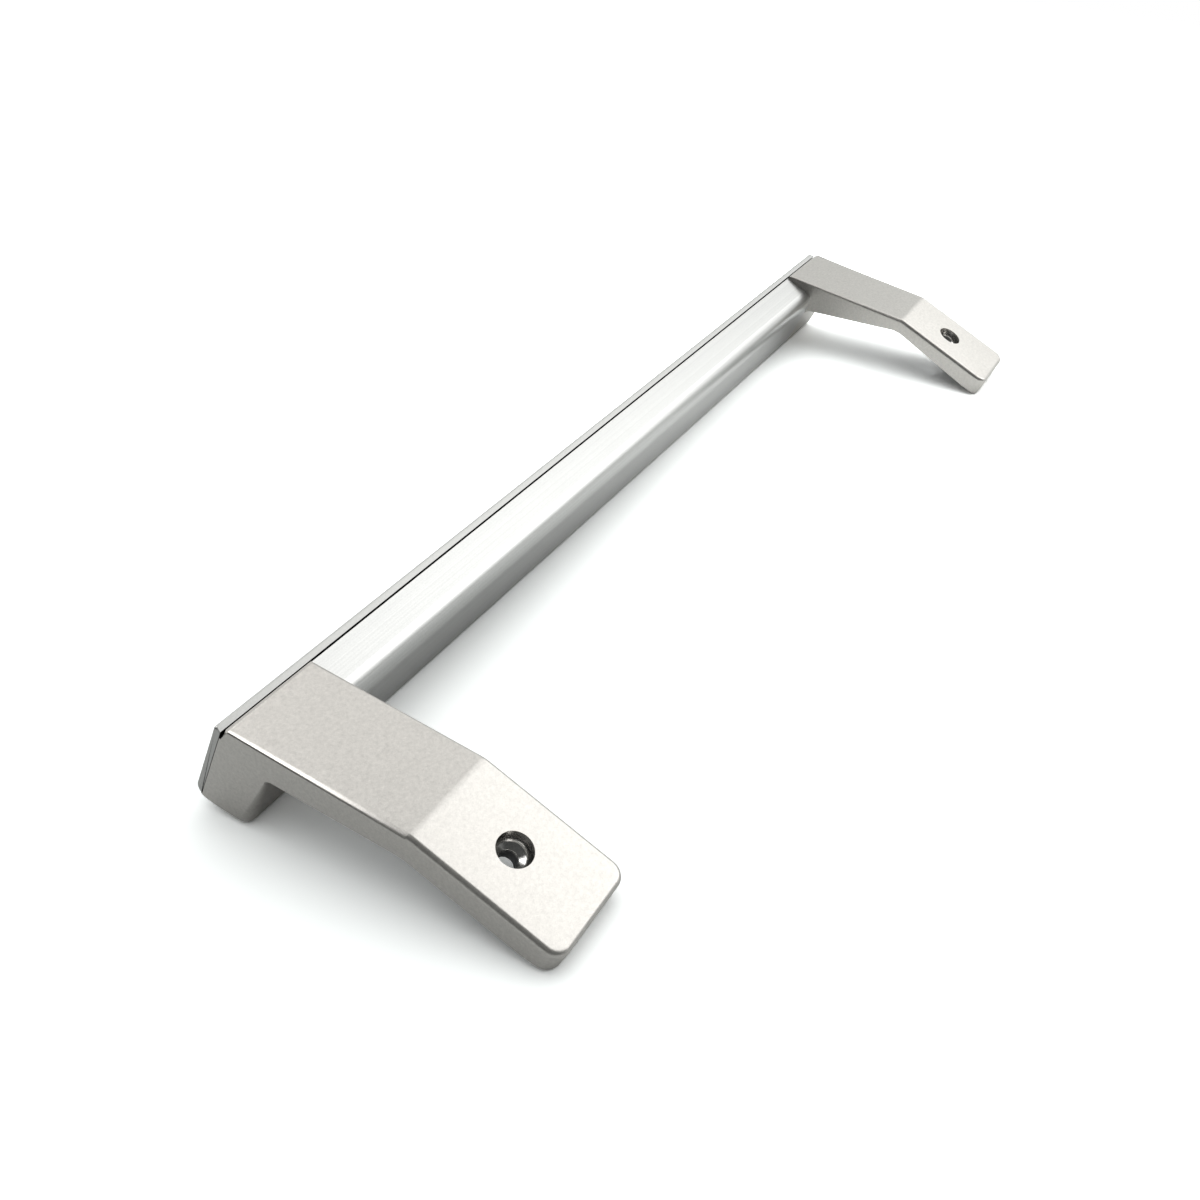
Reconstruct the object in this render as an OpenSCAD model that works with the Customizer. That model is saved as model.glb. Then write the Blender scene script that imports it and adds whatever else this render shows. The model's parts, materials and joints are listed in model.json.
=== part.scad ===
// Refrigerator door handle: a hollow bar between two bent brackets, with a flat strip over the front.
// It lies on its heel and on the tips of its feet, feet towards +Y, bar along X.

/* [Overall] */
// Distance between the two door screws
hole_spacing = 310; // [220:1:600]

/* [Grip] */
// Depth of the bar and of the brackets' legs, from the strip to the finger side
grip_d = 13.5; // [12:0.5:20]
// Height of the bar, from its lower side to its upper side
grip_h = 27; // [25:0.5:36]
// How far the bar and strip lie below the front corner of the arms
bar_drop = 1; // [0.5:0.1:2]
// Radius of the bar's upper edge on the finger side
shoulder_r = 5; // [3:0.5:6]
// Radius of the lower edge on the finger side
heel_r = 3; // [2:0.25:4]
// Radius of the lower edge on the strip side
toe_r = 2.9; // [2.5:0.1:4]
// Wall of the bar
bar_wall = 1.6; // [1.4:0.1:2]

/* [Front strip] */
// Thickness of the strip
strip_t = 2; // [1.5:0.1:2.5]
// Radius of the strip's upper front edge and ends
strip_edge_r = 0.6; // [0.3:0.1:1]
// Width of the shadow groove behind the strip
groove_w = 0.5; // [0.3:0.05:0.9]
// Depth of the shadow groove
groove_depth = 2.2; // [1:0.1:3]
// Width of the slot in the bar that the strip clips into
slot_w = 8; // [6:0.5:9]
// Thickness of the strip's two clip ribs
clip_t = 1.1; // [0.8:0.1:1.6]
// How far a clip's barb stands out
barb = 0.5; // [0.3:0.1:0.8]
// Length of a clip's barb
barb_len = 1.6; // [1:0.1:2.5]

/* [Brackets] */
// Width of a bracket, along the bar
bracket_w = 28; // [26:0.5:40]
// Length of the arm's upper face, from the strip to the bend
arm_len = 49.5; // [44:0.5:70]
// Slope of the arm against the foot
arm_slope = 16.5; // [10:0.5:20]
// Thickness of the arm at its outer side
arm_t = 8.5; // [7.5:0.25:10]
// Length of the foot's upper face, from the bend to the tip
foot_len = 40.5; // [36:0.5:60]
// Thickness of the foot
foot_t = 8; // [7.5:0.25:10]
// Radius over the bend
bend_r = 6; // [3:0.5:10]
// Radius of the foot's two corners, seen from above
foot_corner_r = 4; // [2:0.25:8]
// Radius of the upper edges
edge_r = 1; // [0.5:0.1:1.5]
// Radius of the lower edge at the tip of the foot
tip_r = 1.2; // [0.6:0.1:2]
// Radius between the leg and the outer side of the arm
armpit_r = 2.5; // [1:0.25:4]
// Radius of the leg's upright edge at the end of the handle
leg_edge_r = 3; // [1:0.25:4]
// Radius of the arm's corner in the shadow groove
notch_r = 1.6; // [0.8:0.1:2.5]
// Depth of the inner side of the arm where it leaves the leg
web_leg_t = 10.8; // [9:0.25:13]
// Depth of the inner side under the bend
web_bend_t = 5; // [4.5:0.25:7]
// Depth of the inner side at the tip of the foot
web_tip_t = 7.4; // [6:0.1:7.5]
// Radius of the inner side's arch under the bend
arch_r = 12; // [6:1:20]
// Wall of the bracket's sides
side_wall = 2.5; // [2:0.1:3.5]
// Skin under the arm's and foot's upper face
skin_t = 3; // [2.5:0.1:4]
// Thickness of the ribs in the hollow underside
rib_t = 1.8; // [1.2:0.1:2.5]
// Number of cross ribs under the arm
arm_ribs = 2; // [1:1:3]

/* [Spigots] */
// Length of the spigot that reaches into the bar
spigot_len = 30; // [24:1:45]
// Play between the spigot and the bar
spigot_play = 0.15; // [0.1:0.05:0.3]
// Wall around the spigot's hollow and pilot holes
spigot_wall = 2; // [1.5:0.1:2.5]
// Solid end of the leg past the spigot's hollow
leg_end_wall = 4; // [3:0.5:8]

/* [Screw cups] */
// Distance of the door screw from the bend
hole_from_bend = 18.3; // [16:0.1:22]
// Hole for the door screw
door_screw_d = 4.6; // [3.5:0.1:5]
// Inside of the cup that takes the screw head
cup_d = 8.9; // [8:0.1:11]
// Depth of the cup from its rim down to its floor
cup_depth = 4.1; // [3.5:0.1:5]
// Sheet thickness of the cup
cup_t = 0.6; // [0.4:0.05:0.8]
// Inner radius of the bowl between the cup's wall and floor
cup_r = 2; // [0.8:0.1:2.1]
// Play between the cup and the foot that is moulded round it
cup_play = 0.1; // [0.05:0.05:0.2]
// Thickness of the foot's lip over the cup's rim
cup_lip = 0.55; // [0.4:0.05:0.9]
// Wall of the boss around the cup
boss_wall = 2.2; // [1.5:0.1:3]

/* [Bar screws] */
// Shank of the countersunk screws
bar_screw_d = 3; // [2.5:0.1:3.5]
// Head of the countersunk screws
bar_screw_head_d = 5.2; // [4.6:0.1:5.6]
// Length of the countersunk screws
bar_screw_len = 8; // [6:0.5:9]
// Width across the corners of the hexagon socket
socket_d = 2.2; // [1.5:0.1:2.4]
// Depth of the hexagon socket
socket_depth = 1; // [0.6:0.1:1.5]
// Play around the screws
screw_play = 0.05; // [0.05:0.05:0.15]

/* [Hidden] */
$fn = 96;
cut = 0.2;
arc_bite = 0.005;

overall_len = hole_spacing + bracket_w;
bar_half = overall_len / 2 - bracket_w;
low = -bar_drop - grip_h;
mid = low + grip_h / 2;

// The section is drawn in [u, v]: u from the strip's back towards the feet, v square to the feet.
bend = arm_len * [cos(arm_slope), sin(arm_slope)];
tip_u = bend[0] + foot_len;
seat_v = bend[1] - foot_t;
hole_u = bend[0] + hole_from_bend;
function arm_top(u) = u * tan(arm_slope);
function unit(p) = p / norm(p);

cup_outer_r = cup_d / 2 + cup_t;
boss_r = cup_outer_r + cup_play + boss_wall;
cup_floor_v = bend[1] - cup_lip - cup_depth;

screw_v = (grip_h / 2 - bar_wall + slot_w / 2) / 2;
screw_x = bar_half - spigot_len / 2;
head_depth = (bar_screw_head_d - bar_screw_d) / 2;

// The handle is tipped until heel and foot tips touch the ground, then centred over it.
heel = [grip_d - heel_r, low + heel_r];
tip = [tip_u - tip_r, seat_v + tip_r];
lie_angle = atan2(tip[1] - heel[1], tip[0] - heel[0]) + asin((heel_r - tip_r) / norm(tip - heel));
ahead = [cos(lie_angle), sin(lie_angle)];
up = [-sin(lie_angle), cos(lie_angle)];
floor_z = up * heel - heel_r;
front_y = ahead * [toe_r - strip_t, low + toe_r] - toe_r;
back_y = ahead * [tip_u - edge_r, bend[1] - edge_r] + edge_r;

module lie() {
    translate([0, -(front_y + back_y) / 2, -floor_z])
        rotate([-lie_angle, 0, 0])
            children();
}

// A [u, v] outline drawn out along the bar, from x to x + len.
module along_bar(x, len) {
    translate([x, 0, 0])
        rotate([90, 0, 90])
            linear_extrude(len)
                children();
}

// An [x, v] outline drawn out along u, from 0 to len.
module along_arm(len) {
    rotate([90, 0, 0])
        translate([0, 0, -len])
            linear_extrude(len)
                children();
}

// What lies between a corner at b, on the way from a to c, and the arc of radius r that rounds it.
// It reaches a little past both sides, and the arc crosses them instead of only touching them.
module corner(a, b, c, r) {
    to_a = unit(a - b);
    to_c = unit(c - b);
    half = acos(to_a * to_c) / 2;
    inset = r - arc_bite;
    centre = b + unit(to_a + to_c) * inset / sin(half);
    reach = 1 + cut / inset;
    difference() {
        polygon([centre, for (p = [b + to_a * inset / tan(half), b, b + to_c * inset / tan(half)])
                             centre + (p - centre) * reach]);
        translate(centre)
            circle(r);
    }
}

// A rectangle with a radius of its own at each corner, counted from the lower front round to the upper front.
module rounded(front, back, lower, upper, radii) {
    p = [[front, lower], [back, lower], [back, upper], [front, upper]];
    difference() {
        polygon(p);
        for (i = [0:3])
            corner(p[(i + 3) % 4], p[i], p[(i + 1) % 4], radii[i]);
    }
}

// Outline of strip and bar together.
module grip_outline() {
    rounded(-strip_t, grip_d, low, -bar_drop, [toe_r, heel_r, shoulder_r, strip_edge_r]);
}

// Outline of the bar's hollow, less the given play.
module chamber_outline(play) {
    inset = bar_wall + play;
    rounded(inset, grip_d - inset, low + inset, -bar_drop - inset,
            [toe_r - bar_wall, heel_r - bar_wall, shoulder_r - bar_wall, toe_r - bar_wall]);
}

// The groove behind the strip, open at the top.
module groove_outline() {
    translate([0, -bar_drop - groove_depth])
        square([groove_w, grip_h]);
}

// Half plane behind the strip.
module behind_strip() {
    translate([0, 2 * low])
        square([2 * grip_d, -3 * low]);
}

// Everything in front of a bracket: the strip's place, the groove and the chamfer over the groove.
module bracket_front_cut() {
    clear = 2 * strip_t;
    groove_low = -bar_drop - groove_depth;
    chamfer_low = [groove_w, arm_top(groove_w) - edge_r / 2];
    chamfer_top = [groove_w + edge_r, arm_top(groove_w + edge_r)];
    polygon([[-clear, low - clear], [0, low - clear], [0, groove_low], [groove_w, groove_low], chamfer_low,
             2 * chamfer_top - chamfer_low, [groove_w, clear], [-clear, clear]]);
}

// Side view of a bracket whose underside lies leg_t, bend_t and tip_t below the upper face.
module bracket_side(leg_t, bend_t, tip_t, under_r) {
    pit = [grip_d, arm_top(grip_d) - leg_t / cos(arm_slope)];
    under = [bend[0] + bend_t * tan(arm_slope / 2), bend[1] - bend_t];
    tip_low = [tip_u, bend[1] - tip_t];
    tip_top = [tip_u, bend[1]];
    toe = [-strip_t, low];
    heel_low = [grip_d, low];
    front = [-strip_t, arm_top(-strip_t)];
    past_tip = tip_low + unit(tip_low - under);
    difference() {
        polygon([toe, [tip_u, low], tip_top, bend, front]);
        difference() {
            polygon([heel_low - [0, cut], pit, under, past_tip, [past_tip[0], low - cut]]);
            corner(heel_low, pit, under, armpit_r);
            corner(pit, under, tip_low, under_r);
        }
        corner(front, toe, heel_low, toe_r);
        corner(toe, heel_low, pit, heel_r);
        corner(front, bend, tip_top, bend_r);
        corner(under, tip_low, tip_top, tip_r);
        bracket_front_cut();
    }
}

// Side view of the outer side, and of the inner side with its arch under the bend.
module outer_side() {
    bracket_side(arm_t, foot_t, foot_t, bend_r + foot_t);
}
module inner_side() {
    bracket_side(web_leg_t, web_bend_t, web_tip_t, arch_r);
}

// The hollow under arm and foot, open below.
module underside_hollow() {
    sink = skin_t / cos(arm_slope);
    skin_bend = [bend[0] + skin_t * tan(arm_slope / 2), bend[1] - skin_t];
    along_bar(side_wall, bracket_w - 2 * side_wall)
        polygon([[grip_d, low], [grip_d, arm_top(grip_d) - sink], skin_bend,
                 [tip_u - side_wall, skin_bend[1]], [tip_u - side_wall, low]]);
}

// Ribs and screw boss that fill part of the hollow.
module underside_ribs() {
    intersection() {
        union() {
            translate([(bracket_w - rib_t) / 2, grip_d, low])
                cube([rib_t, tip_u - grip_d, bend[1] - low]);
            for (i = [1:arm_ribs])
                translate([0, grip_d + i * (bend[0] - grip_d) / (arm_ribs + 1), low])
                    cube([bracket_w, rib_t, bend[1] - low]);
            translate([0, hole_u - rib_t / 2, low])
                cube([bracket_w, rib_t, bend[1] - low]);
        }
        along_bar(0, bracket_w)
            outer_side();
        along_bar(0, bracket_w)
            inner_side();
    }
    translate([bracket_w / 2, hole_u, seat_v])
        cylinder(r = boss_r, h = foot_t - skin_t / 2);
}

// Spigot that reaches into the bar, with pilot holes in two solid lands.
module spigot() {
    difference() {
        along_bar(-spigot_len, spigot_len + cut)
            chamber_outline(spigot_play);
        for (v = [mid - screw_v, mid + screw_v])
            translate([-spigot_len / 2, 0, v])
                rotate([-90, 0, 0])
                    cylinder(d = bar_screw_d + 2 * screw_play, h = bar_screw_len + screw_play);
    }
}

// Hollow between the lands, from the spigot's end far into the leg.
module spigot_hollow() {
    inset = bar_wall + spigot_play + spigot_wall;
    half = screw_v - bar_screw_d / 2 - spigot_wall;
    along_bar(-spigot_len - cut, spigot_len + cut + bracket_w - leg_end_wall)
        translate([inset, mid - half])
            square([grip_d - 2 * inset, 2 * half]);
}

// Its children at the outer side of a bracket, and mirrored at the inner side.
module both_sides() {
    translate([bracket_w, 0, 0])
        children();
    mirror([1, 0, 0])
        children();
}

// Outline of the cutter for an upper edge or an upright corner, with its sides along -x and -y.
module edge_outline(r) {
    corner([-1, 0], [0, 0], [0, -1], r);
}

// Cutters for the long upper edges of the arm, then of the foot.
module arm_edge_cutters() {
    both_sides()
        rotate([arm_slope, 0, 0])
            translate([0, -edge_r, 0])
                along_arm(arm_len + edge_r)
                    edge_outline(edge_r);
}
module foot_edge_cutters() {
    both_sides()
        translate([0, bend[0], bend[1]])
            along_arm(foot_len - foot_corner_r)
                edge_outline(edge_r);
}

// Cutters for the foot's two upright corners, and for the upper edge round them and between them.
module foot_corner_cutters() {
    both_sides()
        translate([0, tip_u, 0])
            linear_extrude(2 * bend[1])
                edge_outline(foot_corner_r);
}
module foot_corner_edge_cutters() {
    both_sides()
        translate([-foot_corner_r, tip_u - foot_corner_r, bend[1]])
            rotate_extrude(angle = 90)
                translate([foot_corner_r, 0])
                    edge_outline(edge_r);
}
module tip_edge_cutter() {
    translate([bracket_w - foot_corner_r, tip_u, bend[1]])
        rotate([0, 0, 90])
            along_arm(bracket_w - 2 * foot_corner_r)
                edge_outline(edge_r);
}

// Cutters for the leg's upright edge, which runs out towards the arm, and for the corner in the groove.
module leg_cutters() {
    far = 2 * bracket_w;
    run = -low - web_leg_t;
    translate([bracket_w, grip_d, low])
        rotate([-atan(leg_edge_r / run), 0, 0])
            linear_extrude(run)
                corner([-far, 0], [0, 0], [0, -far], leg_edge_r);
    translate([bracket_w, groove_w, -bar_drop - groove_depth])
        linear_extrude(grip_h)
            corner([-far, 0], [0, 0], [0, far], notch_r);
}

// Ring of a cup's outer shape with the given radii, less its children, which are drawn in the cup's section.
module cup_body(outer_r, hole_r) {
    bend_out = cup_r + cup_t;
    translate([bracket_w / 2, hole_u, cup_floor_v])
        rotate_extrude()
            difference() {
                rounded(-outer_r, outer_r, -cup_t, cup_depth, [bend_out, bend_out, cup_t / 4, cup_t / 4]);
                children();
                translate([-2 * outer_r, -cup_depth])
                    square([2 * outer_r + hole_r, 3 * cup_depth]);
            }
}

// One bracket, with the bar's end at x = 0 and the end of the handle at x = bracket_w.
module bracket() {
    difference() {
        union() {
            difference() {
                union() {
                    along_bar(0, side_wall)
                        inner_side();
                    along_bar(side_wall, bracket_w - side_wall)
                        outer_side();
                }
                underside_hollow();
            }
            underside_ribs();
            spigot();
        }
        spigot_hollow();
        arm_edge_cutters();
        foot_edge_cutters();
        foot_corner_cutters();
        foot_corner_edge_cutters();
        tip_edge_cutter();
        leg_cutters();
        cup_body(cup_outer_r + cup_play, door_screw_d / 4);
        translate([bracket_w / 2, hole_u, bend[1] - cup_lip - cut])
            cylinder(d = cup_d, h = foot_t);
        translate([bracket_w / 2, hole_u, seat_v - cut])
            cylinder(d = door_screw_d, h = foot_t);
    }
}

// One drawn cup with its hole, at the same place as its bracket, whose foot is moulded round it.
module screw_cup() {
    wall_r = cup_d / 2;
    cup_body(cup_outer_r, door_screw_d / 2)
        rounded(-wall_r, wall_r, 0, 2 * cup_depth, [cup_r, cup_r, cup_r, cup_r]);
}

// The two countersunk screws of one bracket.
module bar_screws() {
    for (v = [mid - screw_v, mid + screw_v])
        translate([-spigot_len / 2, screw_play, v])
            rotate([-90, 0, 0])
                difference() {
                    union() {
                        cylinder(d1 = bar_screw_head_d, d2 = bar_screw_d, h = head_depth);
                        cylinder(d = bar_screw_d, h = bar_screw_len - screw_play);
                    }
                    translate([0, 0, -cut])
                        cylinder(d = socket_d, h = socket_depth + cut, $fn = 6);
                }
}

// Puts a piece of the near bracket at the end of the bar, or its mirror image at the other end.
module at_end(upper) {
    lie()
        mirror([upper ? 1 : 0, 0, 0])
            translate([bar_half, 0, 0])
                children();
}

module grip_bar() {
    seat_d = bar_screw_head_d + 2 * screw_play;
    color("gainsboro")
        lie()
            difference() {
                along_bar(-bar_half, 2 * bar_half)
                    difference() {
                        intersection() {
                            grip_outline();
                            behind_strip();
                        }
                        chamber_outline(0);
                        groove_outline();
                        translate([-cut, mid - slot_w / 2])
                            square([bar_wall + 2 * cut, slot_w]);
                    }
                for (x = [-screw_x, screw_x])
                    for (v = [mid - screw_v, mid + screw_v])
                        translate([x, 0, v])
                            rotate([-90, 0, 0]) {
                                cylinder(d = bar_screw_d + 2 * screw_play, h = 2 * bar_wall);
                                cylinder(d1 = seat_d, d2 = bar_screw_d, h = seat_d / 2 - bar_screw_d / 2);
                            }
            }
}

module front_strip() {
    clip_len = 2 * (bar_half - spigot_len - clip_t);
    grip_v = slot_w / 2 - spigot_play;
    hook_u = bar_wall + spigot_play;
    far = 2 * strip_t;
    color("silver")
        lie() {
            difference() {
                along_bar(-overall_len / 2, overall_len)
                    difference() {
                        grip_outline();
                        behind_strip();
                    }
                for (side = [0, 1])
                    mirror([side, 0, 0])
                        translate([overall_len / 2, -strip_t, low])
                            linear_extrude(grip_h)
                                corner([-far, 0], [0, 0], [0, far], strip_edge_r);
            }
            along_bar(-clip_len / 2, clip_len)
                for (side = [-1, 1])
                    translate([0, mid])
                        polygon([[-cut, side * (grip_v - clip_t)],
                                 [hook_u + barb_len, side * (grip_v - clip_t)],
                                 [hook_u + barb_len, side * grip_v], [hook_u, side * (grip_v + barb)],
                                 [hook_u, side * grip_v], [-cut, side * grip_v]]);
        }
}

module lower_bracket() {
    color("lightgray")
        at_end(false)
            bracket();
}

module upper_bracket() {
    color("lightgray")
        at_end(true)
            bracket();
}

module lower_screw_cup() {
    color("dimgray")
        at_end(false)
            screw_cup();
}

module upper_screw_cup() {
    color("dimgray")
        at_end(true)
            screw_cup();
}

module lower_bar_screws() {
    color("slategray")
        at_end(false)
            bar_screws();
}

module upper_bar_screws() {
    color("slategray")
        at_end(true)
            bar_screws();
}

grip_bar();
front_strip();
lower_bracket();
upper_bracket();
lower_screw_cup();
upper_screw_cup();
lower_bar_screws();
upper_bar_screws();
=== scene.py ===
import json
import math

import bmesh
import bpy
from mathutils import Matrix, Vector


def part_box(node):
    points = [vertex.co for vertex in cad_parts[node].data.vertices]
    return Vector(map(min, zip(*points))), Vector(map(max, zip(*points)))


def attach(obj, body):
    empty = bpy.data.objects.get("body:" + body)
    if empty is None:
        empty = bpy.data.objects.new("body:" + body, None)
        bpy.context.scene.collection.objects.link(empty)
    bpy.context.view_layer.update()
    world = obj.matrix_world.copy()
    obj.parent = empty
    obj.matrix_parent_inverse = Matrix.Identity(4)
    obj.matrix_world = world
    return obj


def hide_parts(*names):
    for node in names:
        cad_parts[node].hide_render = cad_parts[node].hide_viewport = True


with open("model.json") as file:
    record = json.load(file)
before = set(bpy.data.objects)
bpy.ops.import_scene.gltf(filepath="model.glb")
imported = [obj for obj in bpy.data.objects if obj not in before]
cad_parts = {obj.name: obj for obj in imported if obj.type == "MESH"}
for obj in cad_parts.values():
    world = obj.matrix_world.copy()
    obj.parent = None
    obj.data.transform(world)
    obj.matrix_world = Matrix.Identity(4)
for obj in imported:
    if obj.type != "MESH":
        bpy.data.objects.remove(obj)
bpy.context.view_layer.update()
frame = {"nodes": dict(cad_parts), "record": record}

# Brackets
# Two mirrored mouldings in ABS, cored from below to even walls and sprayed outside with a fine silver paint.
# Each has a leg that closes the bar's end, an arm that leans up to the bend and a foot for the door.
# They are drawn in millimetres: x along the bar from its end, y from strip to door, z square to the foot.
mm = 0.001
door_screw = next(m for m in frame["record"]["mounts"] if m["name"] == "lower_door_screw")
screw_spot = Vector(door_screw["pos_m"])
screw_axis = Vector(door_screw["axis"])
bore_r = door_screw["dims"]["r_mm"]
bore_len = door_screw["dims"]["length_mm"]
end_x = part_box("lower_bracket")[1].x
bracket_w = 2 * (end_x - screw_spot.x) / mm
arm_len = 49.5
arm_slope = math.radians(16.5)
arm_t = 8.5
foot_len = 40.5
foot_t = 8.0
leg_depth = 13.5
leg_low = -28.0
toe_front = 0.9
toe_rise = 0.14
groove_w = 0.5
groove_low = -3.2
groove_top = 1.5
groove_fall = 0.5
wall = 2.5
skin = 3.0
bend = Vector((0, arm_len * math.cos(arm_slope), arm_len * math.sin(arm_slope)))
tip = bend.y + foot_len
seat = bend.z - foot_t
hole_from_bend = 18.3
hole_y = bend.y + hole_from_bend
lip = 0.55
cup_d = 8.9
cup_t = 0.6
cup_play = 0.1
cup_floor = seat + bore_len
pocket_r = cup_d / 2 + cup_t + cup_play
boss_wall = 2.2
boss_r = pocket_r + boss_wall
hole = Vector((bracket_w / 2, hole_y, seat + bore_len / 2))
tilt = math.atan2(screw_axis.y, screw_axis.z)
turned = Matrix.Rotation(-tilt, 4, "X") @ Matrix.Scale(mm, 4)
lay = Matrix.Translation(screw_spot) @ turned @ Matrix.Translation(-hole)
slack = 0.002
hair = 0.01


def near(a, b):
    """Whether two lengths are the same but for rounding."""
    return abs(a - b) < slack


def arm_line(y, thickness):
    """Height of the arm at y, at a thickness below its upper face."""
    return y * math.tan(arm_slope) - thickness / math.cos(arm_slope)


def bend_below(thickness):
    """Where arm and foot meet at a thickness below their upper faces."""
    return bend.y + thickness * math.tan(arm_slope / 2), bend.z - thickness


def once(parts):
    """Parts without repeats, in the order in which they come."""
    return list(dict.fromkeys(parts))


def prism(bm, outline, start, length):
    """Draws an outline of the section out along the bar, as a closed solid, and gives its faces."""
    near_face = bm.faces.new([bm.verts.new((start, y, z)) for y, z in outline])
    drawn = bmesh.ops.extrude_face_region(bm, geom=[near_face])["geom"]
    far_verts = [v for v in drawn if isinstance(v, bmesh.types.BMVert)]
    bmesh.ops.translate(bm, verts=far_verts, vec=(length, 0, 0))
    bmesh.ops.recalc_face_normals(bm, faces=bm.faces)
    return once([near_face, *(f for v in far_verts for e in v.link_edges for f in e.link_faces)])


def cut_back(bm, edges, reach, steps):
    """Rounds edges that keep their place up to a reach from them."""
    bmesh.ops.bevel(bm, geom=edges, offset=reach, offset_type="OFFSET", segments=steps, profile=0.5,
                    affect="EDGES", material=-1, clamp_overlap=False, loop_slide=True)


def soften(bm, edges, radius):
    """Rounds edges that all have the same turn, in finer steps where the arc is longer."""
    turn = edges[0].calc_face_angle()
    fewest_steps = 3
    cut_back(bm, edges, radius * math.tan(turn / 2), fewest_steps + round(radius * turn))


def edges_where(bm, test):
    """The edges with both ends at places that pass a test."""
    return [e for e in bm.edges if all(test(v.co) for v in e.verts)]


def underside(bm):
    """The faces that look down, from the leg's back to the foot's tip."""
    return [f for f in bm.faces if f.normal.z < -hair and f.calc_center_median().y > leg_depth]


def cut_faces(bm, faces, spot, facing):
    """Parts faces along a plane."""
    geom = once(part for f in faces for part in (f, *f.edges, *f.verts))
    bmesh.ops.bisect_plane(bm, geom=geom, plane_co=spot, plane_no=facing)


bend_r = 6.0
under_r = bend_r + foot_t
pit_r = 2.5
heel_r = 3.0
foot_corner_r = 4.0
bm = bmesh.new()
pit = (leg_depth, arm_line(leg_depth, arm_t))
under = bend_below(foot_t)
prism(bm, [(toe_front, leg_low), (leg_depth, leg_low), pit, under, (tip, seat), (tip, bend.z), bend.yz,
           (groove_top, arm_line(groove_top, 0)), (groove_w, arm_line(groove_w, 0) - groove_fall),
           (groove_w, groove_low), (0, groove_low), (0, leg_low + toe_rise)], 0, bracket_w)
for (y, z), radius in ((bend.yz, bend_r), (under, under_r), (pit, pit_r), ((leg_depth, leg_low), heel_r)):
    soften(bm, edges_where(bm, lambda co: near(co.y, y) and near(co.z, z)), radius)
tip_edges = edges_where(bm, lambda co: near(co.y, tip))
soften(bm, [e for e in tip_edges if near(e.verts[0].co.x, e.verts[1].co.x)], foot_corner_r)

# The cores leave a wall all round and a skin on top. The side towards the bar has a shallower arch.
for x in (wall, bracket_w - wall):
    cut_faces(bm, underside(bm), (x, 0, 0), (1, 0, 0))


def between_walls(f):
    """Whether a face lies between the bracket's two side walls."""
    return wall < f.calc_center_median().x < bracket_w - wall


end_part = [f for f in underside(bm) if between_walls(f) or f.calc_center_median().y > tip - foot_len / 2]
cut_faces(bm, end_part, (0, tip - wall, 0), (0, 1, 0))
cored = [f for f in underside(bm) if between_walls(f) and f.calc_center_median().y < tip - wall]
bar_side = once(v for f in underside(bm) for v in f.verts if v.co.x < wall + hair)
raised = bmesh.ops.extrude_face_region(bm, geom=cored)["geom"]


def roof_line(y):
    """Height of the cores' roof at y."""
    return min(arm_line(y, skin), bend.z - skin)


for v in (part for part in raised if isinstance(part, bmesh.types.BMVert)):
    v.co.z = roof_line(v.co.y)
bmesh.ops.delete(bm, geom=cored, context="FACES")


def eased(y, corner, rise, fall, reach):
    """Height of two straight lines that meet at a corner, with a parabola in place of the corner."""
    off = y - corner[0]
    if abs(off) > reach:
        return corner[1] + (fall if off > 0 else rise) * off
    return corner[1] + (fall + rise) / 2 * off + (fall - rise) / 4 * (off * off / reach + reach)


arch_leg_t = 10.8
arch_bend_t = 5.0
arch_tip_t = 7.4
arch_reach = 3.0
arch_end = 4.0
arch = bend_below(arch_bend_t)
arch_rise = (arch[1] - arm_line(leg_depth, arch_leg_t)) / (arch[0] - leg_depth)
arch_fall = (bend.z - arch_tip_t - arch[1]) / (tip - arch[0])


def arch_line(y):
    """Height of the lower edge at y on the side towards the bar."""
    return eased(y, arch, arch_rise, arch_fall, arch_reach)


def outer_line(y):
    """Height of the lower edge at y on the outer side."""
    return eased(y, under, math.tan(arm_slope), 0, under_r * math.tan(arm_slope / 2))


for v in bar_side:
    fade = min(1, (tip - v.co.y) / arch_end)
    v.co.z += fade * (arch_line(v.co.y) - outer_line(v.co.y))

# The leg's upright edge on the finger side is rounded, and the rounding runs out into the armpit.
leg_edge_r = 2.6
leg_edge_steps = 6
pit_left = 1.8
sharp = math.radians(57)
leg_back = edges_where(bm, lambda co: near(co.x, bracket_w) and co.z < pit[1] - pit_left
                       and leg_depth - heel_r - hair < co.y < leg_depth + hair)
cut_back(bm, [e for e in leg_back if e.calc_face_angle() > sharp], leg_edge_r, leg_edge_steps)
bmesh.ops.remove_doubles(bm, verts=bm.verts, dist=slack)
notch_r = 1.6
soften(bm, edges_where(bm, lambda co: near(co.x, bracket_w) and near(co.y, groove_w)), notch_r)
seam_r = 0.2
soften(bm, edges_where(bm, lambda co: near(co.x, bracket_w) and near(co.y, 0)), seam_r)

# A face counts as level, upper, upright or lower by the share of its normal that points up or down.
level = 0.99
upper = 0.9
upright = 0.1
lower = -0.3


def leans(e, least_up, most_up):
    """Whether one of an edge's faces looks up more than a share, and the other one less than another."""
    low, high = sorted(f.normal.z for f in e.link_faces)
    return low < most_up and high > least_up


def outward(f):
    """Whether a face belongs to the outside of the side walls or to the foot's end."""
    across = f.normal.x * (f.calc_center_median().x - bracket_w / 2)
    return f.normal.z > -upright and (across > hair or f.normal.y > level)


def rims(bm):
    """The edges round the underside, where the outer walls end."""
    behind_leg = edges_where(bm, lambda co: co.y > leg_depth + hair)
    return [e for e in behind_leg if e.calc_face_angle() > sharp and leans(e, -upright, lower)
            and any(outward(f) for f in e.link_faces)]


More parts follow.
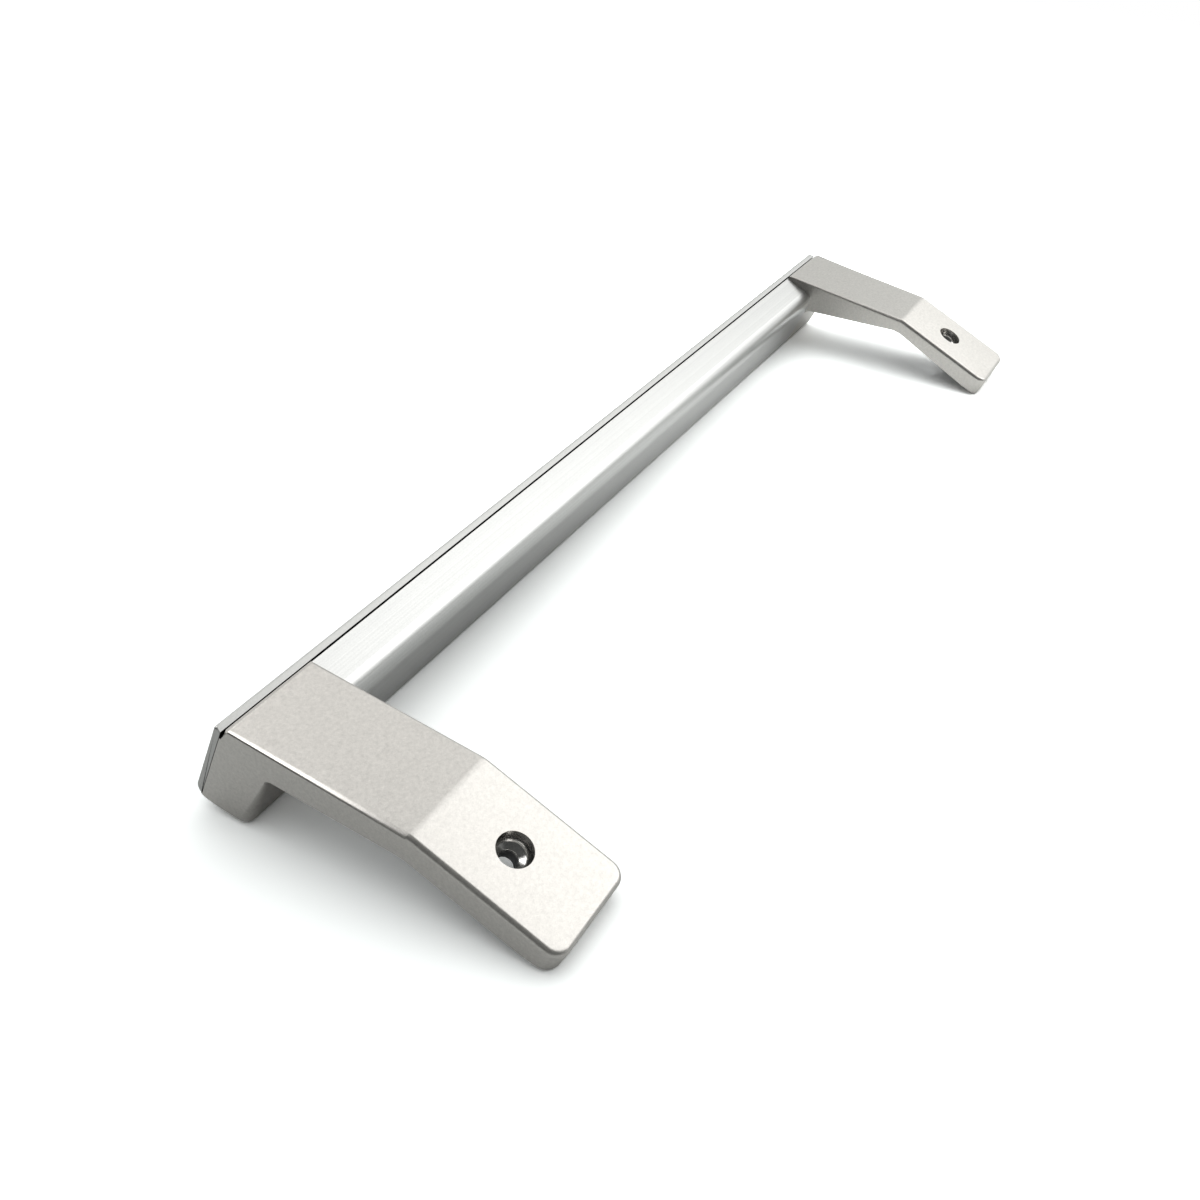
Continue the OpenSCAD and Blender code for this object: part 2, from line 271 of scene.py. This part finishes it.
edge_r = 1.3
tip_r = 1.2
rim_r = 0.3
behind_groove = edges_where(bm, lambda co: co.y > groove_top - hair)
soften(bm, [e for e in behind_groove if leans(e, upper, upright)], edge_r)
soften(bm, [e for e in rims(bm) if all(v.co.y > tip - foot_corner_r - hair for v in e.verts)], tip_r)
soften(bm, rims(bm), rim_r)
bmesh.ops.remove_doubles(bm, verts=bm.verts, dist=slack)

# The hole for the cup goes through the skin and the boss, as one wall from the upper face to the cores' roof.
round_steps = 64


def ring(bm, radius, height):
    """A new round edge about the door screw's axis."""
    spot = Matrix.Translation((bracket_w / 2, hole_y, height))
    verts = bmesh.ops.create_circle(bm, segments=round_steps, radius=radius, matrix=spot)["verts"]
    return once(e for v in verts for e in v.link_edges)


def carry_on(bm, edges, radius, height):
    """Carries a round edge on to another radius and height, with the wall between."""
    step = bmesh.ops.extrude_edge_only(bm, edges=edges)["geom"]
    axis = Vector((bracket_w / 2, hole_y, height))
    for v in (part for part in step if isinstance(part, bmesh.types.BMVert)):
        out = (v.co - axis) * Vector((1, 1, 0))
        v.co = axis + radius * out.normalized()
    return [part for part in step if isinstance(part, bmesh.types.BMEdge)]


def pierced(bm, height, edges):
    """Fills the largest level face at a height anew, with a round edge as a hole in it."""
    flat = [f for f in bm.faces if abs(f.normal.z) > level and near(f.calc_center_median().z, height)]
    face = max(flat, key=lambda f: f.calc_area())
    around = list(face.edges)
    bmesh.ops.delete(bm, geom=[face], context="FACES_ONLY")
    bmesh.ops.triangle_fill(bm, use_beauty=True, edges=around + edges)


mouth = ring(bm, cup_d / 2, bend.z)
pierced(bm, bend.z, mouth)
for radius, height in ((cup_d / 2, bend.z - lip), (pocket_r, bend.z - lip), (pocket_r, cup_floor - cup_t),
                       (bore_r, cup_floor - cup_t), (bore_r, seat), (boss_r, seat), (boss_r, bend.z - skin)):
    mouth = carry_on(bm, mouth, radius, height)
pierced(bm, bend.z - skin, mouth)
bmesh.ops.recalc_face_normals(bm, faces=bm.faces)

# The paint stays outside: the hole below its lip, the cores, their ribs and the spigot are bare plastic.
PAINT, BARE = 0, 1
for f in bm.faces:
    x, y, z = f.calc_center_median()
    in_hole = math.hypot(x - bracket_w / 2, y - hole_y) < pocket_r + hair and z < bend.z - lip + hair
    in_core = wall - hair < x < bracket_w - wall + hair and leg_depth + hair < y < tip - wall + hair
    under_roof = z < roof_line(y) + hair
    f.material_index = BARE if in_hole or in_core and under_roof else PAINT

# Ribs stiffen the cores, and the spigot that slides into the bar is hollow from its end.
rib_t = 1.8
rib_root = 0.5
arm_ribs = 2


def rib_outline(start, stop):
    """Side view of a rib between two places, from the cores' roof down to the shallower side."""
    stations = [start, *[y for y in (arch[0], under[0]) if start < y < stop], stop]
    roof = [(y, roof_line(y) + rib_root) for y in stations]
    return [(y, max(arch_line(y), outer_line(y))) for y in stations] + roof[::-1]


def bare_prism(bm, outline, start, length):
    """A prism of bare plastic."""
    faces = prism(bm, outline, start, length)
    for f in faces:
        f.material_index = BARE
    return faces


rib_x = (bracket_w - rib_t) / 2
bare_prism(bm, rib_outline(leg_depth - rib_root, hole_y - boss_r + rib_root), rib_x, rib_t)
bare_prism(bm, rib_outline(hole_y + boss_r - rib_root, tip - wall + rib_root), rib_x, rib_t)
for i in range(arm_ribs):
    y = leg_depth + (i + 1) * (bend.y - leg_depth) / (arm_ribs + 1)
    bare_prism(bm, rib_outline(y, y + rib_t), wall - rib_root, bracket_w - 2 * (wall - rib_root))
beside_boss = bracket_w / 2 - boss_r - wall + 2 * rib_root
for x in (wall - rib_root, bracket_w / 2 + boss_r - rib_root):
    bare_prism(bm, rib_outline(hole_y - rib_t / 2, hole_y + rib_t / 2), x, beside_boss)

spigot_len = 30.0
spigot_wall = 2.0
spigot_r = 1.3
bar_wall = 1.6
bar_play = 0.15
bar_top = -1.0
inside = bar_wall + bar_play
low, high = leg_low + inside, bar_top - inside
front, back = inside, leg_depth - inside
spigot_end = [(front, low), (back, low), (back, high), (front, high)]
spigot = bare_prism(bm, spigot_end, -spigot_len, spigot_len + rib_root)
spigot_edges = once(e for f in spigot for e in f.edges)
soften(bm, [e for e in spigot_edges if abs(e.verts[0].co.x - e.verts[1].co.x) > spigot_len], spigot_r)
open_end = min(bm.faces, key=lambda f: f.calc_center_median().x)
bmesh.ops.inset_region(bm, faces=[open_end], thickness=spigot_wall, use_even_offset=True)
bmesh.ops.translate(bm, verts=open_end.verts, vec=(spigot_len - spigot_wall, 0, 0))
bmesh.ops.recalc_face_normals(bm, faces=bm.faces)


class Socket:
    """A node's output that can be used in Python arithmetic."""

    def __init__(self, tree, output):
        self.tree = tree
        self.output = output

    def node(self, kind, settings=None, **inputs):
        """Adds a node, sets its settings first and then its inputs, and returns its first output."""
        made = self.tree.nodes.new(kind)
        for name, value in (settings or {}).items():
            setattr(made, name, value)
        for name, value in inputs.items():
            key = int(name[1:]) if name[0] == "i" and name[1:].isdigit() else name.replace("_", " ")
            if isinstance(value, Socket):
                self.tree.links.new(value.output, made.inputs[key])
            else:
                made.inputs[key].default_value = value
        return Socket(self.tree, next(o for o in made.outputs if o.enabled))

    def other(self, name):
        """Another output of the node that this one belongs to."""
        return Socket(self.tree, self.output.node.outputs[name])

    def maths(self, operation, a, b):
        return self.node("ShaderNodeMath", {"operation": operation}, i0=a, i1=b)

    def drawn_out(self, *per_metre):
        """This place with a scale of its own in each direction, for a pattern that is drawn out."""
        return self.node("ShaderNodeMapping", Vector=self, Scale=per_metre)

    def noise(self, per_metre=1.0, detail=2.0, roughness=0.5):
        """Noise at this place, about 0 to 1."""
        return self.node("ShaderNodeTexNoise", Vector=self, Scale=per_metre, Detail=detail,
                         Roughness=roughness)

    def bump(self, strength, height):
        """A normal that this value raises, by the height at most."""
        return self.node("ShaderNodeBump", Strength=strength, Distance=height, Height=self)

    def step(self, start, stop):
        """A smooth rise from nought to one while this value goes from start to stop."""
        return self.node("ShaderNodeMapRange", {"interpolation_type": "SMOOTHSTEP"}, Value=self,
                         From_Min=start, From_Max=stop)

    def along(self, direction):
        """How far this place lies in a direction."""
        dot = self.node("ShaderNodeVectorMath", {"operation": "DOT_PRODUCT"}, i0=self, i1=direction)
        return dot.other("Value")

    def between(self, low, high):
        """A number between two, by this value."""
        return low + (high - low) * self

    def blend(self, dark, light):
        """A colour between two, by this value."""
        a, b = (c if isinstance(c, Socket) else (*c, 1) for c in (dark, light))
        return self.node("ShaderNodeMix", {"data_type": "RGBA"}, Factor=self, A=a, B=b)

    def __add__(self, other):
        return self.maths("ADD", self, other)

    def __radd__(self, other):
        return self.maths("ADD", other, self)

    def __sub__(self, other):
        return self.maths("SUBTRACT", self, other)

    def __rsub__(self, other):
        return self.maths("SUBTRACT", other, self)

    def __mul__(self, other):
        return self.maths("MULTIPLY", self, other)

    def __rmul__(self, other):
        return self.maths("MULTIPLY", other, self)

    def __pow__(self, other):
        return self.maths("POWER", self, other)


def new_finish(name):
    """A new material, its surface node and a socket with the object's own coordinates."""
    made = bpy.data.materials.new(name)
    made.use_nodes = True
    tree = made.node_tree
    where = tree.nodes.new("ShaderNodeTexCoord")
    return made, tree.nodes["Principled BSDF"], Socket(tree, where.outputs["Object"])


def feed(surface, name, value):
    """Links a varying value to one of the surface's inputs, or sets a constant on it."""
    if isinstance(value, Socket):
        value.tree.links.new(value.output, surface.inputs[name])
    else:
        surface.inputs[name].default_value = value


def with_painted_groove_shade(where, unshaded):
    """A colour with painted shade, near black in the groove behind the strip and in the seam below it."""
    out = Vector((0, math.cos(tilt), -math.sin(tilt))) / mm
    up = Vector((0, math.sin(tilt), math.cos(tilt))) / mm
    depth = where.along(out) - lay.translation.dot(out)
    height = where.along(up) - lay.translation.dot(up)
    reach = 0.1
    clear_top = groove_low / 2
    clear_fade = 1.0
    above = height.step(clear_top - clear_fade, clear_top)
    beneath = height.step(groove_low, groove_low - reach)
    past_seam = where.maths("MAXIMUM", above, beneath) * depth.step(reach / 2, reach / 2 + reach)
    past_groove = depth.step(groove_w, groove_w + reach)
    behind = where.maths("MAXIMUM", past_seam, past_groove)
    open_air = where.maths("MAXIMUM", behind, depth.step(0, -reach))
    # Near-black painted shade where the groove and the seam lie in shade.
    painted_shade = (0.012, 0.012, 0.011)
    return open_air.blend(painted_shade, unshaded)


silver_paint, surface, where = new_finish("silver_paint")
paint_dark = (0.36, 0.347, 0.329)
paint_light = (0.745, 0.719, 0.681)
paint_metal = 0.92
paint_roughness = (0.30, 0.42)
flakes_per_m = 4200.0
clouds_per_m = 1100.0
flake_share = 0.5
peel_per_m = 900.0
peel_strength = 0.08
peel_height = 0.1 * mm
flake = where.noise(flakes_per_m, detail=1.0)
cloud = where.noise(clouds_per_m)
grain = flake_share * flake + (1 - flake_share) * cloud
# The paint gets painted shade in the notch behind the strip and in the seam below it.
feed(surface, "Base Color", with_painted_groove_shade(where, grain.blend(paint_dark, paint_light)))
feed(surface, "Metallic", paint_metal)
feed(surface, "Roughness", grain.between(*paint_roughness))
feed(surface, "Normal", where.noise(peel_per_m, detail=1.0).bump(peel_strength, peel_height))

bare_abs, surface, where = new_finish("bare_abs")
abs_dark = (0.055, 0.055, 0.058)
abs_light = (0.105, 0.105, 0.108)
abs_roughness = (0.40, 0.65)
sparks_per_m = 2500.0
spark_strength = 0.2
spark_height = 0.1 * mm
spark = where.noise(sparks_per_m, detail=3.0)
feed(surface, "Base Color", spark.blend(abs_dark, abs_light))
feed(surface, "Roughness", spark.between(*abs_roughness))
feed(surface, "Normal", spark.bump(spark_strength, spark_height))


def fit(drawn, name, materials, node, mirrored=False):
    """Lays a piece that is drawn in the section in its place, as an object that stands for a CAD node."""
    side = Matrix.Scale(-1 if mirrored else 1, 4, (1, 0, 0))
    laid = drawn.copy()
    bmesh.ops.transform(laid, matrix=side @ lay, verts=laid.verts)
    bmesh.ops.recalc_face_normals(laid, faces=laid.faces)
    mesh = bpy.data.meshes.new(name)
    laid.to_mesh(mesh)
    laid.free()
    crease = math.radians(40)
    mesh.shade_smooth()
    mesh.set_sharp_from_angle(angle=crease)
    for material in materials:
        mesh.materials.append(material)
    piece = bpy.data.objects.new(name, mesh)
    bpy.context.scene.collection.objects.link(piece)
    shade = piece.modifiers.new("even_faces", "WEIGHTED_NORMAL")
    shade.keep_sharp = True
    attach(piece, "root")
    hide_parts(node)


for end in ("lower", "upper"):
    fit(bm, end + "_bracket_moulding", [silver_paint, bare_abs], end + "_bracket", end == "upper")
bm.free()

# Screw cups
# Bright steel cups, drawn from sheet, that the feet are moulded round. They take the heads of the
# door screws, and the hole in their floor lets the screws through.
cup_depth = bend.z - lip - cup_floor
dish = 1.25
bowl_r = 1.0
punched_r = 0.1
arc_steps = 10
outer_r = cup_d / 2 + cup_t
weld = 0.0002
profile = [(bore_r, -cup_t, 0), (outer_r, dish - cup_t / 2, bowl_r), (outer_r, cup_depth, 0),
           (cup_d / 2, cup_depth, 0), (cup_d / 2, dish, bowl_r), (bore_r, 0, punched_r)]
bm = bmesh.new()
section = [bm.verts.new((bracket_w / 2 + r, hole_y, cup_floor + z)) for r, z, _ in profile]
bm.faces.new(section)
for v, (_, _, radius) in zip(section, profile):
    if radius:
        bmesh.ops.bevel(bm, geom=[v], offset=radius, offset_type="OFFSET", segments=arc_steps, profile=0.5,
                        affect="VERTICES", material=-1)
bmesh.ops.delete(bm, geom=bm.faces[:], context="FACES_ONLY")
bmesh.ops.spin(bm, geom=bm.edges[:] + bm.verts[:], cent=(bracket_w / 2, hole_y, 0), axis=(0, 0, 1),
               angle=2 * math.pi, steps=round_steps, use_merge=True, use_duplicate=False)
bmesh.ops.remove_doubles(bm, verts=bm.verts, dist=weld)
bmesh.ops.recalc_face_normals(bm, faces=bm.faces)

drawn_steel, surface, where = new_finish("drawn_steel")
steel_dark = (0.50, 0.49, 0.475)
steel_light = (0.64, 0.63, 0.615)
steel_roughness = (0.14, 0.24)
streaks_round_per_m = 900.0
streaks_up_per_m = 5000.0
streaks = where.drawn_out(streaks_round_per_m, streaks_round_per_m, streaks_up_per_m).noise(detail=3.0)
feed(surface, "Base Color", streaks.blend(steel_dark, steel_light))
feed(surface, "Metallic", 1.0)
feed(surface, "Roughness", streaks.between(*steel_roughness))
for end in ("lower", "upper"):
    fit(bm, end + "_drawn_cup", [drawn_steel], end + "_screw_cup", end == "upper")
bm.free()

# Grip bar
# The tube that the hand closes round: an aluminium extrusion, satin anodised, with the fine
# lengthwise lines that the die leaves. It slides over the brackets' spigots.
bar_dark = (0.36, 0.36, 0.352)
bar_light = (0.69, 0.688, 0.675)
bar_line_gap = 0.4 * mm
bar_roughness = 0.26


def satin_aluminium(name, dark, light, line_gap, roughness):
    """Anodised aluminium with lines along the bar and the fine grain of the etch."""
    made, surface, where = new_finish(name)
    drawn_per_m = 2.0
    etch_per_m = 3000.0
    clouds_per_m = 40.0
    line_share = 0.6
    rough_by_tone = 0.10
    rough_by_cloud = 0.04
    lines = where.drawn_out(drawn_per_m, 1 / line_gap, 1 / line_gap).noise(detail=3.0, roughness=0.6)
    tone = line_share * lines + (1 - line_share) * where.noise(etch_per_m, detail=1.0)
    # The aluminium gets painted shade in the groove behind the strip and in the seam below it.
    feed(surface, "Base Color", with_painted_groove_shade(where, tone.blend(dark, light)))
    feed(surface, "Metallic", 1.0)
    feed(surface, "Roughness", roughness + rough_by_tone * tone + rough_by_cloud * where.noise(clouds_per_m))
    return made


def dress(node, material):
    """Gives a CAD node that stays its material."""
    frame["nodes"][node].data.materials.clear()
    frame["nodes"][node].data.materials.append(material)


dress("grip_bar", satin_aluminium("satin_bar", bar_dark, bar_light, bar_line_gap, bar_roughness))

# Bar screws
# Countersunk steel screws with a hexagon socket, zinc plated. They go through the bar's front,
# which the strip covers, into the spigots.
zinc_plate, surface, where = new_finish("zinc_plate")
zinc_dark = (0.44, 0.44, 0.455)
zinc_light = (0.58, 0.58, 0.60)
zinc_roughness = (0.28, 0.43)
spangles_per_m = 1500.0
spangle = where.noise(spangles_per_m, detail=3.0)
feed(surface, "Base Color", spangle.blend(zinc_dark, zinc_light))
feed(surface, "Metallic", 1.0)
feed(surface, "Roughness", spangle.between(*zinc_roughness))
for end in ("lower", "upper"):
    dress(end + "_bar_screws", zinc_plate)

# Front strip
# A flat aluminium section over the whole front, clipped into the bar's slot by two barbed rails
# that run along its back. Its ends lie in front of the brackets' legs.
bar_len = 2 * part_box("grip_bar")[1].x / mm
strip_start = -(bar_len + bracket_w)
strip_t = 2.0
toe_r = 2.9
strip_edge_r = 0.6
slot_w = 8.0
slot_half = slot_w / 2 - bar_play
clip_t = 1.1
clip_root = 0.2
barb = 0.5
barb_len = 1.6
clip_len = bar_len - 2 * (spigot_len + clip_t)
middle = (leg_low + bar_top) / 2
bm = bmesh.new()
prism(bm, [(-strip_t, leg_low), (leg_depth, leg_low), (leg_depth, bar_top), (-strip_t, bar_top)],
      strip_start, bracket_w - strip_start)
for z, radius in ((leg_low, toe_r), (bar_top, strip_edge_r)):
    soften(bm, edges_where(bm, lambda co: near(co.y, -strip_t) and near(co.z, z)), radius)
everything = bm.faces[:] + bm.edges[:] + bm.verts[:]
bmesh.ops.bisect_plane(bm, geom=everything, plane_co=(0, 0, 0), plane_no=(0, 1, 0), clear_outer=True)
bmesh.ops.holes_fill(bm, edges=[e for e in bm.edges if e.is_boundary])


def end_edges(bm):
    """The sharp edges round the strip's two ends."""
    return [e for e in bm.edges if e.calc_face_angle() > sharp and near(e.verts[0].co.x, e.verts[1].co.x)]


soften(bm, [e for e in end_edges(bm) if all(near(v.co.y, 0) for v in e.verts)], seam_r)
soften(bm, [e for e in end_edges(bm) if all(v.co.y < -hair for v in e.verts)], strip_edge_r)
for side in (-1, 1):
    inner = middle + side * (slot_half - clip_t)
    outer = middle + side * slot_half
    hook = middle + side * (slot_half + barb)
    prism(bm, [(-clip_root, inner), (inside + barb_len, inner), (inside + barb_len, outer), (inside, hook),
               (inside, outer), (-clip_root, outer)], -(bar_len + clip_len) / 2, clip_len)

strip_dark = (0.31, 0.31, 0.302)
strip_light = (0.64, 0.637, 0.62)
strip_line_gap = 0.3 * mm
strip_roughness = 0.32
satin_strip = satin_aluminium("satin_strip", strip_dark, strip_light, strip_line_gap, strip_roughness)
fit(bm, "clipped_strip", [satin_strip], "front_strip")
bm.free()

# Floor
# White paper that the handle lies on. It keeps the shadow near the handle and runs out into white.
# Its colour is paler for the camera, and greyer for what the handle's metal mirrors near its lower end. Both
# tones grow paler towards the upper end: painted light there, and painted shade near the lower end in the
# metal's reflections.
floor_half = 6.0
bm = bmesh.new()
bmesh.ops.create_grid(bm, x_segments=1, y_segments=1, size=floor_half)
floor_mesh = bpy.data.meshes.new("floor")
bm.to_mesh(floor_mesh)
bm.free()
floor = bpy.data.objects.new("floor", floor_mesh)
bpy.context.scene.collection.objects.link(floor)
paper, surface, where = new_finish("white_paper")
tree = paper.node_tree
tree.nodes.remove(surface)


def rays(tree):
    """Sockets that are one for rays from the camera, and for rays from a mirror or glass."""
    camera_ray = Socket(tree, tree.nodes.new("ShaderNodeLightPath").outputs["Is Camera Ray"])
    return camera_ray, camera_ray.other("Is Glossy Ray") + camera_ray.other("Is Transmission Ray")


straight, mirrored = rays(tree)
seen = where.maths("MINIMUM", straight + mirrored, 1.0)
across = where.along((1.0, 0.0, 0.0))
shown_from, shown_to = 0.12, -0.18
shown_grey = (1.32, 2.17)
mirrored_from, mirrored_to = 0.12, -0.08
mirrored_grey = (0.60, 1.15)
bounce = 0.6
# Painted light and shade: both tones rise from the lower end towards the upper end.
painted_camera_tone = across.step(shown_from, shown_to).between(*shown_grey)
painted_mirror_tone = across.step(mirrored_from, mirrored_to).between(*mirrored_grey)
tone = straight * painted_camera_tone + mirrored * painted_mirror_tone + (1 - seen) * bounce
matt = where.node("ShaderNodeBsdfDiffuse", Color=tone)
lit = where.node("ShaderNodeEmission", Color=(1, 1, 1, 1), Strength=1.0)
away = where.node("ShaderNodeVectorMath", {"operation": "LENGTH"}, i0=where).other("Value")
shadow_end, white_start = 0.35, 1.0
run_out = away.step(shadow_end, white_start) * straight
sheet = where.node("ShaderNodeMixShader", Fac=run_out, i1=matt, i2=lit)
below = Socket(tree, tree.nodes.new("ShaderNodeNewGeometry").outputs["Backfacing"])
sheet = where.node("ShaderNodeMixShader", Fac=below, i1=sheet, i2=where.node("ShaderNodeBsdfTransparent"))
tree.links.new(sheet.output, tree.nodes["Material Output"].inputs["Surface"])
floor_mesh.materials.append(paper)

# Light
# A light tent, strongest overhead, lights the handle and gives the soft shadow. The camera sees white,
# and the metal mirrors a room that is bright behind the handle and dim by the camera. Four panels show
# in reflections only: behind the handle, for the arm, for the bar's shoulder and for the arm's edge.
world = bpy.data.worlds.new("studio")
bpy.context.scene.world = world
world.use_nodes = True
tree = world.node_tree
sky = tree.nodes["Background"]
dome = Socket(tree, tree.nodes.new("ShaderNodeTexCoord").outputs["Generated"])


def facing(direction):
    """One in a direction of the sky, less beside it, and nought from a quarter turn away."""
    return dome.maths("MAXIMUM", dome.along(direction), 0.0)


straight, mirrored = rays(tree)
tent_top = (-0.16, 0.04, 0.985)
tent_focus = 2.5
tent_light = 2.0
tent_least = 0.09
room_back = (-1.0, 0.0, 0.0)
room_light = 0.82
room_least = 0.08
sky_tint = (0.97, 1.0, 0.99)
white = (1.0, 1.0, 1.0)
fill = tent_least + tent_light * facing(tent_top) ** tent_focus
room = room_least + room_light * facing(room_back)
feed(sky, "Color", straight.blend(sky_tint, white))
feed(sky, "Strength", straight + mirrored * room + (1 - straight - mirrored) * fill)


def softbox(name, towards, size, radiance, colour):
    """A square panel that faces the handle from a direction and shows in what mirrors it."""
    distance = 2.0
    lamp = bpy.data.lights.new(name, "AREA")
    lamp.shape = "SQUARE"
    lamp.size = size
    lamp.energy = radiance * math.pi * size ** 2
    lamp.color = colour
    held = bpy.data.objects.new(name, lamp)
    held.location = Vector(towards).normalized() * distance
    held.rotation_euler = Vector(towards).to_track_quat("Z", "Y").to_euler()
    held.visible_diffuse = False
    bpy.context.scene.collection.objects.link(held)


warm = (1, 0.965, 0.95)
softbox("back_panel", towards=(-0.60, 0.34, 0.73), size=1.7, radiance=1.62, colour=white)
softbox("arm_panel", towards=(-0.5, -0.6, 0.7), size=1.6, radiance=0.66, colour=warm)
softbox("shoulder_panel", towards=(-0.62, 0.64, 0.45), size=0.95, radiance=1.3, colour=white)
softbox("edge_panel", towards=(0.08, -0.62, 0.78), size=1.15, radiance=4.0, colour=white)

# Camera
# It stands where the photograph was taken, as found from the handle's straight edges and screw holes.
# The photograph's middle lies beside the lens's axis, so the frame is shifted.
frame_px = 1200
focal_px = 1222.70
axis_px = (681.35, 591.07)
stand = (0.301110, 0.130907, 0.215878)
right = Vector((-0.458322, 0.886784, 0.059624))
down = Vector((0.504610, 0.314852, -0.803889))
ahead = Vector((-0.731649, -0.338353, -0.591783))
eye = bpy.data.cameras.new("photo_camera")
eye.sensor_fit = "HORIZONTAL"
eye.sensor_width = 36.0
eye.lens = focal_px / frame_px * eye.sensor_width
eye.shift_x = (frame_px / 2 - axis_px[0]) / frame_px
eye.shift_y = (axis_px[1] - frame_px / 2) / frame_px
camera = bpy.data.objects.new("photo_camera", eye)
camera.matrix_world = Matrix.Translation(stand) @ Matrix((right, -down, -ahead)).transposed().to_4x4()
bpy.context.scene.collection.objects.link(camera)
bpy.context.scene.camera = camera

bpy.context.scene.view_settings.view_transform = "Standard"
